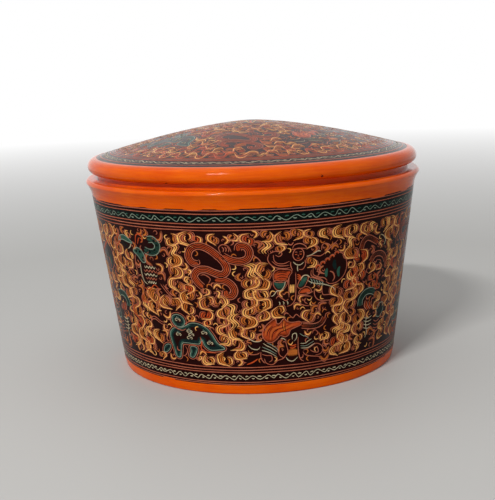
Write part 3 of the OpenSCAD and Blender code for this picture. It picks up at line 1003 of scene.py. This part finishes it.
def flameBird(draw):
    plume = [(1.3, 22.8), (2.2, 25.4), (4.0, 27.2), (6.0, 28.4), (6.6, 26.6), (7.6, 26.6), (9.2, 28.2),
             (10.2, 27.2), (12.0, 26.6), (15.0, 26.6), (15.4, 25.4), (13.4, 24.6), (11.6, 23.8),
             (10.8, 22.0), (9.4, 21.4), (7.8, 22.0), (6.6, 20.8), (4.6, 19.6), (2.4, 20.4)]
    draw.fill("red", plume)
    draw.ring("rose", 0.28, plume)
    veins = [
        [(4.2, 20.6), (4.5, 23.0), (5.8, 24.7), (8.8, 25.4)],
        [(5.8, 21.6), (7.2, 23.6), (9.4, 24.4), (12.6, 25.6)], [(2.4, 22.2), (3.0, 24.6), (4.8, 26.4)],
        [(9.2, 27.4), (9.0, 25.4), (9.6, 23.0)],
    ]
    for points in veins:
        draw.line("amber", 0.36, points, lift=0.034)
        draw.hairs("band", [(x + 0.5, y - 0.5) for x, y in points], lift=0.032)
        draw.line("band", 0.24, [(x - 0.5, y + 0.6) for x, y in points], lift=0.032)
    draw.ribbon("red", 1.1, [(15.6, 25.0), (18.4, 24.4), (21.2, 24.3), (23.4, 25.2), (24.6, 27.2)])
    feathers = [
        [(1.4, 19.6), (2.8, 18.5), (4.6, 17.5), (6.8, 15.8)],
        [(1.0, 18.2), (2.6, 17.4), (4.2, 16.5), (6.4, 15.0)],
        [(0.9, 16.8), (2.4, 16.4), (4.2, 15.6), (6.6, 14.0)],
        [(2.8, 19.6), (4.4, 18.8), (6.2, 17.4), (7.0, 16.4)],
        [(15.2, 18.4), (17.0, 18.2), (18.4, 19.0), (19.6, 19.6)],
        [(15.2, 17.5), (17.4, 17.2), (19.2, 18.0), (20.6, 18.6)],
        [(15.4, 16.6), (18.0, 16.4), (19.8, 17.2), (21.0, 17.8)],
        [(14.9, 22.2), (16.2, 21.2), (17.4, 20.8), (18.6, 19.8)],
    ]
    for step, points in enumerate(feathers):
        draw.line("paleGreen" if step % 2 else "cream", 0.26, points, taper=0.3)
    draw.fill("amber", [(10.5, 14.2), (10.8, 16.4), (12.4, 16.8), (14.0, 16.4), (14.3, 14.2), (12.4, 13.8)])
    for step in range(2):
        draw.line("red", 0.5, [(11.2, 17.2 + 0.8 * step), (12.4, 16.9 + 0.9 * step),
                               (13.8, 17.6 + 0.6 * step)])
    roseLines = [
        [(9.8, 20.8), (10.0, 18.4), (10.6, 15.8), (9.6, 14.2), (8.6, 13.2), (6.6, 12.6), (5.0, 11.4)],
        [(7.2, 20.2), (7.0, 17.6), (7.4, 14.8), (9.2, 13.4)],
        [(14.4, 21.0), (14.4, 17.6), (14.7, 14.6), (15.4, 12.4), (16.8, 11.4)],
        [(16.2, 15.6), (18.8, 16.3), (21.2, 17.6), (23.4, 16.8), (24.4, 15.0), (23.4, 13.4), (21.2, 13.2)],
        [(16.2, 15.2), (17.4, 13.8), (19.8, 13.0), (22.8, 12.4), (23.2, 11.4)],
        [(19.0, 15.6), (20.4, 14.6), (22.4, 14.2), (22.0, 16.0), (20.4, 16.2)],
        [(0.6, 16.4), (0.6, 13.8), (2.0, 11.8)],
        [(1.8, 13.8), (2.4, 12.0), (4.6, 11.2), (6.4, 12.4), (6.6, 14.0)],
        [(0.8, 15.4), (2.6, 14.8), (4.4, 14.6), (4.6, 13.0), (3.4, 12.2)],
        [(-5.0, 16.4), (-3.4, 15.4), (-1.0, 15.4), (0.2, 16.0)], [(24.8, 26.4), (25.0, 28.2), (26.8, 28.6)],
        [(11.0, 29.6), (12.4, 28.2), (13.6, 29.4), (15.2, 28.0)],
        [(15.4, 26.4), (17.6, 26.0), (19.8, 25.8)],
    ]
    draw.hairs("rose", *roseLines, taper=0.3)
    draw.hairs("cream", [(7.8, 20.8), (8.8, 20.9), (9.8, 20.0)],
                        [(12.2, 20.0), (12.3, 22.0), (13.6, 22.3), (13.8, 20.6), (12.8, 19.4)],
                        [(9.8, 13.8), (10.8, 12.4), (12.6, 12.0), (14.4, 13.4)],
                        [(-4.0, 19.0), (-2.6, 17.6), (-0.6, 17.2), (0.4, 18.2)],
                        [(-3.8, 21.8), (-2.0, 20.4), (0.0, 20.2), (1.2, 20.8)])
    draw.line("amber", 0.8, [(-1.2, 20.4), (0.0, 20.6), (1.2, 20.8)])
    draw.line("red", 0.5, [(-4.8, 11.6), (-2.6, 12.4), (-0.4, 13.8)])
    draw.clear((-3.0, 13.8, 1.5), (-1.8, 18.9, 1.2), (12.2, 12.8, 0.8), (26.4, 21.0, 1.5),
               (26.6, 25.0, 1.3), (12.6, 24.0, 0.6))


def teardrop(draw):
    draw.hairs("rose", [(28.6, 50.4), (30.8, 49.4), (32.4, 46.8), (32.6, 43.8), (31.4, 41.2), (28.8, 39.4),
                        (26.0, 39.2), (24.4, 40.4)], taper=0.2)
    draw.hairs("rose", [(19.6, 46.0), (19.6, 43.4), (21.6, 42.2), (23.8, 41.6), (25.0, 40.4)], taper=0.3)
    for step in range(5):
        x, y = 21.4 + 1.75 * step, 45.8 + 1.0 * step
        draw.line("rose", 0.24, hook(x, y, 1.3, 230, -250), steps=2)
        draw.line("red", 0.42, hook(x, y, 0.8, 220, -250), steps=2)
    draw.line("green", 1.2, [(24.8, 45.0), (24.4, 43.6), (24.6, 41.8)])
    draw.line("deepGreen", 1.5, [(27.6, 47.8), (27.5, 46.0), (28.2, 44.0)])
    draw.line("green", 1.2, [(29.8, 45.0), (29.2, 43.4), (29.6, 41.2)])
    draw.line("rose", 0.5, [(25.8, 43.8), (27.2, 43.0), (27.8, 41.2), (27.0, 39.8)])
    draw.line("rose", 0.45, [(21.4, 45.2), (22.4, 43.8), (24.0, 43.0)])
    draw.clear((26.2, 45.8, 2.4), (30.2, 46.2, 2.2), (28.8, 42.4, 2.0), (25.4, 42.0, 1.4),
               (26.4, 31.0, 1.3))


def bloom(draw):
    draw.ribbon("green", 1.5, edge="paleGreen", points=[
        (40.4, 28.4), (40.6, 31.0), (42.6, 33.0), (45.6, 33.3), (48.4, 32.2)])
    leaf = [(50.6, 22.8), (51.4, 26.4), (54.2, 27.2), (55.4, 24.6), (53.6, 22.0)]
    draw.fill("deepGreen", leaf)
    draw.ring("paleGreen", 0.34, leaf)
    for step in range(5):
        shift = 0.95 * step
        draw.line("red" if step % 2 else "rose", 0.45, [(43.2 + shift, 30.2 - 0.3 * step),
                                                        (42.8 + shift, 28.0), (44.6 + shift, 26.0)])
    for step in range(4):
        draw.hairs("cream", [(43.0, 23.6 - 1.3 * step), (45.4, 22.8 - 1.3 * step),
                             (48.0, 23.4 - 1.5 * step)])
        draw.hairs("rose", [(49.0, 21.4 - 1.4 * step), (51.2, 20.4 - 1.3 * step),
                            (53.4, 21.2 - 1.4 * step)])
    draw.hairs("cream", [(44.8, 24.0), (44.4, 21.0), (45.4, 17.6), (44.6, 15.4)], taper=0.3)
    draw.clear((42.0, 29.4, 1.0), (44.0, 13.4, 1.4))


def redArch(draw):
    draw.ribbon("red", 1.2, [(38.8, 49.6), (39.6, 52.4), (41.8, 53.6), (44.8, 52.4), (47.4, 51.0)])
    draw.ribbon("red", 1.2, [(44.0, 44.2), (46.2, 46.6), (49.4, 46.6), (52.0, 45.2), (53.4, 43.0)])
    draw.hairs("rose", [(47.6, 44.4), (49.8, 44.0), (50.6, 42.0), (50.4, 39.4)])
    draw.line("red", 0.5, [(46.4, 40.0), (48.4, 38.4), (49.0, 36.0), (47.4, 34.8)])
    draw.hairs("cream", [(48.4, 53.8), (50.4, 53.0), (52.0, 51.2), (51.2, 49.4)])
    draw.clear((42.0, 50.6, 1.4), (48.8, 44.4, 1.2))


figures = {  # each with the place on the wall that its points are set for
    "serpent": (serpent, (-12.0, 47.0)), "prowler": (prowler, (-24.0, 20.5)),
    "sprig": (sprig, (-43.0, 48.0)), "dancer": (dancer, (14.0, 44.5)),
    "flameBird": (flameBird, (10.0, 20.5)), "teardrop": (teardrop, (27.0, 44.5)),
    "bloom": (bloom, (47.0, 24.0)), "redArch": (redArch, (46.0, 47.0)),
}
wallFigures = [  # figure, mm round from the front, height, mirrored or not
    ("sprig", -43, 48, 1), ("serpent", -12, 47, 1), ("dancer", 14, 44.5, 1), ("teardrop", 27, 44.5, 1),
    ("prowler", -24, 20.5, 1), ("flameBird", 10, 20.5, 1), ("bloom", 47, 24, 1), ("redArch", 46, 47, 1),
    ("serpent", 74, 47, -1), ("prowler", 78, 20.5, -1), ("sprig", 101, 48, -1), ("flameBird", 110, 20.5, 1),
    ("dancer", 127, 44.5, -1), ("teardrop", 144, 44.5, -1), ("bloom", 139, 24, 1), ("serpent", 166, 47, 1),
    ("prowler", 168, 20.5, 1), ("sprig", 192, 48, 1), ("flameBird", 200, 20.5, -1), ("dancer", 216, 44.5, 1),
    ("teardrop", 231, 44.5, 1), ("bloom", 228, 24, -1), ("serpent", 253, 47, -1), ("prowler", 256, 20.5, -1),
    ("redArch", 280, 47, -1), ("flameBird", 287, 20.5, 1), ("bloom", 306, 24, -1),
    ("teardrop", 301, 46.5, 1),
]
panel = {
    "low": 11.0, "high": 60.4, "chains": 70, "pitch": 5.0, "size": (0.58, 0.9), "turn": (-0.5, 0.5),
    "start": 2.4, "startSway": (-1.2, 0.3), "stop": 1.6, "swapShare": 0.85, "sideStep": 0.4, "sway": 8,
    "edge": 2.8, "edgeLeast": 0.6, "redShare": 0.05, "margin": 1.3, "seed": 15, "curls": 16000,
}
ground = {  # how full the ground gets
    "cellShares": (1.0, 0.82, 0.66, 0.5), "cellHalf": (3.5, 2.7), "cellCrowding": 0.08, "flameShare": 0.12,
    "curlReaches": (2.0, 1.5, 1.1, 0.8, 0.6), "curlCrowding": 0.07, "curlReach": 1.25,
}


def placeFigures(body, placements):
    for name, x, y, turn, mirror in placements:
        drawing, home = figures[name]
        drawing(pen(body, (x, y), turn, 1.0, mirror, home))


def placeCell(marks, body, x, y, turn, size, side, dice, redShare):  # the largest that keeps off the figures
    halfWide, halfTall = ground["cellHalf"]
    for share in ground["cellShares"]:
        reach = size * share
        if crowding(marks, body, x, y, halfWide * reach, halfTall * reach) < ground["cellCrowding"]:
            kind = flameCell if dice.random() < ground["flameShare"] else scrollCell
            kind(body, (x, y), turn, reach, side, dice, redShare)
            break


def fillCurls(body, spot, attempts, dice):  # small curls in what is left
    for attempt in range(attempts):
        x, y = spot()
        for reach in ground["curlReaches"]:
            if crowding(taken[body], body, x, y, reach, reach) < ground["curlCrowding"]:
                turn, side = dice.uniform(0, 6.28), dice.choice((1, -1))
                smallCurl(body, (x, y), turn, reach / ground["curlReach"], side, dice)
                break


def engraveWall():
    dice = random.Random(panel["seed"])
    placeFigures("body", [(name, x, y, 0.0, mirror) for name, x, y, mirror in wallFigures])
    marks = set(taken["body"])
    low, high, sideStep = panel["low"], panel["high"], panel["sideStep"]
    spread = wallLength / panel["chains"]
    for chain in range(panel["chains"]):
        side = 1 if chain % 2 else -1
        height = high - panel["start"] + dice.uniform(*panel["startSway"])
        drift = dice.uniform(0, 2 * math.pi)
        while height > low + panel["stop"]:
            size = dice.uniform(*panel["size"])
            side = -side if dice.random() < panel["swapShare"] else side
            across = (chain + 0.5) * spread + math.sin(height / panel["sway"] + drift) - sideStep * side
            across += dice.uniform(-sideStep, sideStep)
            room = min(1.0, (high - height) / panel["edge"], (height - low) / panel["edge"])
            edge = max(panel["edgeLeast"], room)
            turn = dice.uniform(*panel["turn"])
            placeCell(marks, "body", across, height, turn, size * edge, side, dice, panel["redShare"])
            height -= panel["pitch"] * size

    def spot():
        return dice.uniform(0, wallLength), dice.uniform(low + panel["margin"], high - panel["margin"])

    fillCurls("body", spot, panel["curls"], dice)


# borders: plain lines round the wall and waves with leaves in their hollows
borders = {
    "lines": [67.45, 66.3, 62.8, 61.7, 60.6, 10.5, 9.35, 8.4, 4.8, 4.0],
    "width": 0.27, "underShare": 1.8, "wobble": (0.06, 0.04),
    "band": (64.6, 2.7),
    "waves": [(64.5, 71, 0.95, "paleGreen", "green"), (6.6, 74, 0.85, "cream", "cream")],
    "drips": 44, "lowDrips": 0.25, "dripReach": (1.5, 5.5), "dripWidth": (0.3, 0.8), "dripSag": 0.1,
    "dripLift": 0.04,
    "seed": 5,
}
wave = {
    "width": 0.24, "shift": 0.25, "rise": (0.55, 1.1), "leafShift": 0.1, "leafLong": (0.55, 0.85),
    "leafWidth": (0.35, 0.5), "leafHeight": 0.45, "leafTurn": 0.2, "lowLeaf": 0.8,
}


def roundPath(height, waver=0.0, count=240):
    slow, quick = borders["wobble"]
    path = []
    for step in range(count):
        angle = 2 * math.pi * step / count
        wobble = slow * math.sin(5 * angle + waver) + quick * math.sin(17 * angle + 2 * waver)
        path.append((angle * middleRadius, height + wobble))
    return path


def waveBorder(body, spot, turnAt, count, swing, colour, leaf, dice):
    uneven = []
    for half in range(2 * count):
        uneven.append((dice.uniform(-wave["shift"], wave["shift"]), dice.uniform(*wave["rise"])))
    crests = []
    for half in range(-2, 2 * count + 3):  # goes past both ends, so that the cut closes smoothly
        shift, rise = uneven[half % (2 * count)]
        crests.append(spot((half + shift) / (2 * count), swing * rise * (1 if half % 2 else -1)))
    cutLoop(body, colour, smoothPath(crests, 4)[8:8 + 8 * count], wave["width"], engraving["lineLift"])
    for half in range(2 * count):
        side = -1 if half % 2 else 1
        share = (half + dice.uniform(-wave["leafShift"], wave["leafShift"])) / (2 * count)
        long = dice.uniform(*wave["leafLong"]) * (1.0 if side > 0 else wave["lowLeaf"])
        turn = turnAt(share) + dice.uniform(-wave["leafTurn"], wave["leafTurn"])
        draw = pen(body, spot(share, side * wave["leafHeight"] * swing), turn)
        draw.line(leaf if side > 0 else colour, dice.uniform(*wave["leafWidth"]),
                  [(-long, -0.1 * side), (0.0, 0.1 * side), (long, -0.05 * side)], steps=3)


def engraveBorders():
    dice = random.Random(borders["seed"])
    height, width = borders["band"]
    cutLoop("body", "band", roundPath(height), width, engraving["rustLift"])
    for height in borders["lines"]:
        path = roundPath(height, dice.uniform(0, 6.28))
        cutLoop("body", "rust", path, borders["underShare"] * borders["width"], engraving["rustLift"])
        cutLoop("body", "rose", path, borders["width"], engraving["lineLift"])
    for height, count, swing, colour, leaf in borders["waves"]:
        def spot(share, offset):
            return share * wallLength, height + offset
        waveBorder("body", spot, lambda share: 0.0, count, swing, colour, leaf, dice)
    for drip in range(borders["drips"]):  # orange lacquer that ran over the hoops' edges
        low = dice.random() < borders["lowDrips"]
        height = footTop + 0.1 if low else rimLow - 0.05
        reach = dice.uniform(*borders["dripReach"])
        draw = pen("body", (dice.uniform(0, wallLength), height))
        width = dice.uniform(*borders["dripWidth"])
        run = [(-reach, 0), (0, dice.uniform(-borders["dripSag"], borders["dripSag"])), (reach, 0)]
        draw.line("orangeLacquer", width, run, borders["dripLift"])


# lid: wave border by the ring, scrolls and figures on the dome, a rosette in the middle
crown = {
    "lines": [(58.8, "rose"), (55.0, "red"), (54.0, "rose"), (53.0, "red")],
    "lineWidth": 0.34,
    "wave": (56.9, 62, 0.75, "cream"),
    "rings": [50.0, 45.4, 40.8, 36.2, 31.6, 27.0, 22.4, 17.8, 13.2],
    "figures": [("serpent", -92, 34, 1), ("prowler", -140, 36, 1), ("flameBird", -46, 35, 1),
                ("teardrop", -8, 38, 1), ("sprig", 28, 36, 1), ("dancer", 66, 34, -1),
                ("prowler", 106, 36, -1), ("serpent", 152, 35, -1)],
    "pitch": 3.6, "size": (0.6, 0.8), "turn": (-0.3, 0.3), "redShare": 0.28,
    "rosetteRings": (10.4, 9.6, 2.4), "rosetteWidth": 0.36, "petals": 10,
    "seed": 23, "curls": 5000, "curlRadius": 51.6, "curlInner": 0.045,
}


def polar(reach, angle):
    return reach * math.cos(angle), reach * math.sin(angle)


def ringPath(radius, count):
    return [polar(radius, 2 * math.pi * step / count) for step in range(count)]


def engraveDome():
    dice = random.Random(crown["seed"])
    high = engraving["lineLift"]
    for radius, colour in crown["lines"]:
        cutLoop("lid", colour, ringPath(radius, 240), crown["lineWidth"], high)
    radius, count, swing, colour = crown["wave"]

    def border(share, offset):
        return polar(radius + offset, 2 * math.pi * share)

    def borderTurn(share):
        return 2 * math.pi * share - math.pi / 2

    waveBorder("lid", border, borderTurn, count, swing, colour, colour, dice)
    placements = []
    for name, degrees, reach, mirror in crown["figures"]:
        angle = math.radians(degrees)
        placements.append((name, *polar(reach, angle), angle + math.pi / 2, mirror))
    placeFigures("lid", placements)
    marks = set(taken["lid"])
    for ring, reach in enumerate(crown["rings"]):
        cells = 2 * round(math.pi * reach / crown["pitch"])
        for cell in range(cells):
            angle = 2 * math.pi * cell / cells + ring
            turn = angle + dice.uniform(*crown["turn"])
            side = 1 if cell % 2 else -1
            size = dice.uniform(*crown["size"])
            placeCell(marks, "lid", *polar(reach, angle), turn, size, side, dice, crown["redShare"])
    for reach in crown["rosetteRings"]:
        cutLoop("lid", "rose", ringPath(reach, 48), crown["rosetteWidth"], high)
    petal = [(0, 3.0), (1.4, 5.4), (1.0, 7.6), (0, 8.9), (-1.0, 7.6), (-1.4, 5.4)]
    for index in range(crown["petals"]):
        draw = pen("lid", (0, 0), 2 * math.pi * index / crown["petals"])
        draw.line("red", 1.4, [(0, 3.2), (0, 5.6), (0, 8.6)], engraving["amberLift"])
        draw.ring("yellow", crown["rosetteWidth"], petal, 3)

    def spot():
        angle = dice.uniform(0, 2 * math.pi)
        return polar(crown["curlRadius"] * math.sqrt(dice.uniform(crown["curlInner"], 1)), angle)

    fillCurls("lid", spot, crown["curls"], dice)


engraveWall()
engraveBorders()
engraveDome()


def finishCuts():
    for (body, part, colour), (points, faces) in cuts.items():
        name = part + "Cuts" + capital(colour) + ("Pigment" if colour in pigments else "")
        mesh = bpy.data.meshes.new(name)
        mesh.from_pydata(points, [], faces)
        mesh.validate()
        piece = bpy.data.objects.new(name, mesh)
        bpy.context.scene.collection.objects.link(piece)
        mesh.materials.append(finishes.get(body + colour) or finishes[colour])
        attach(piece, body)
        print(name, len(faces), "faces")


finishCuts()
print("engraving made")


# stage: pale floor that fades to white, soft lamps, white surroundings
stage = {"size": 12.0, "floor": paint(188, 187, 184), "fade": (0.25, 1.2), "sky": 0.21}
lamps = {
    "keyLamp": {"place": (-0.4, -0.84, 0.78), "size": (0.26, 0.05), "power": 10.0},
    "fillLamp": {"place": (0.9, -0.7, 0.55), "size": (0.9, 0.9), "power": 0.25},
    "topLamp": {"place": (-0.1, 0.15, 1.5), "size": (1.8, 1.8), "power": 8.5},
}


def raysThatSee(tree):  # camera, mirror and glass rays meet the white surroundings
    path = addNode(tree, "ShaderNodeLightPath")
    mirrored = mathNode(tree, "MAXIMUM", path.outputs["Is Camera Ray"], path.outputs["Is Glossy Ray"])
    return mathNode(tree, "MAXIMUM", mirrored, path.outputs["Is Transmission Ray"])


def floorMaterial():
    material, tree, shader = startMaterial("paleFloor")
    feed(tree, shader, Base_Color=stage["floor"], Roughness=0.6, Specular_IOR_Level=0.2)
    reach = addNode(tree, "ShaderNodeVectorMath", operation="LENGTH")
    feed(tree, reach, objectPlace(tree))
    fade = mapRange(tree, reach.outputs["Value"], stage["fade"], (0.0, 1.0))
    white = feed(tree, addNode(tree, "ShaderNodeEmission"), Color=(1, 1, 1, 1))
    share = mathNode(tree, "MULTIPLY", fade, raysThatSee(tree))
    seen = mixShader(tree, share, shader.outputs[0], white.outputs[0])
    clear = addNode(tree, "ShaderNodeBsdfTransparent")
    side = addNode(tree, "ShaderNodeNewGeometry")
    oneSided = mixShader(tree, side.outputs["Backfacing"], seen, clear.outputs[0])
    feed(tree, tree.nodes["Material Output"], Surface=oneSided)
    return material


def makeStage():
    bpy.ops.object.select_all(action="DESELECT")
    bpy.ops.mesh.primitive_plane_add(size=stage["size"], location=(0, 0, 0))
    floor = bpy.context.object
    floor.name = "paleFloor"
    floor.data.materials.append(floorMaterial())
    world = bpy.data.worlds.new("studio")
    bpy.context.scene.world = world
    world.use_nodes = True
    tree = world.node_tree
    soft = feed(tree, tree.nodes["Background"], Color=(1, 1, 1, 1), Strength=stage["sky"])
    white = feed(tree, addNode(tree, "ShaderNodeBackground"), Color=(1, 1, 1, 1))
    mixed = mixShader(tree, raysThatSee(tree), soft.outputs[0], white.outputs[0])
    feed(tree, tree.nodes["World Output"], Surface=mixed)
    for name, lamp in lamps.items():
        bpy.ops.object.light_add(type="AREA", location=lamp["place"])
        light = bpy.context.object
        light.name = name
        light.data.shape = "RECTANGLE"
        light.data.size, light.data.size_y = lamp["size"]
        light.data.energy = lamp["power"]
        light.rotation_euler = (-Vector(lamp["place"])).to_track_quat("-Z", "Y").to_euler()  # faces the box


makeStage()
print("stage set")
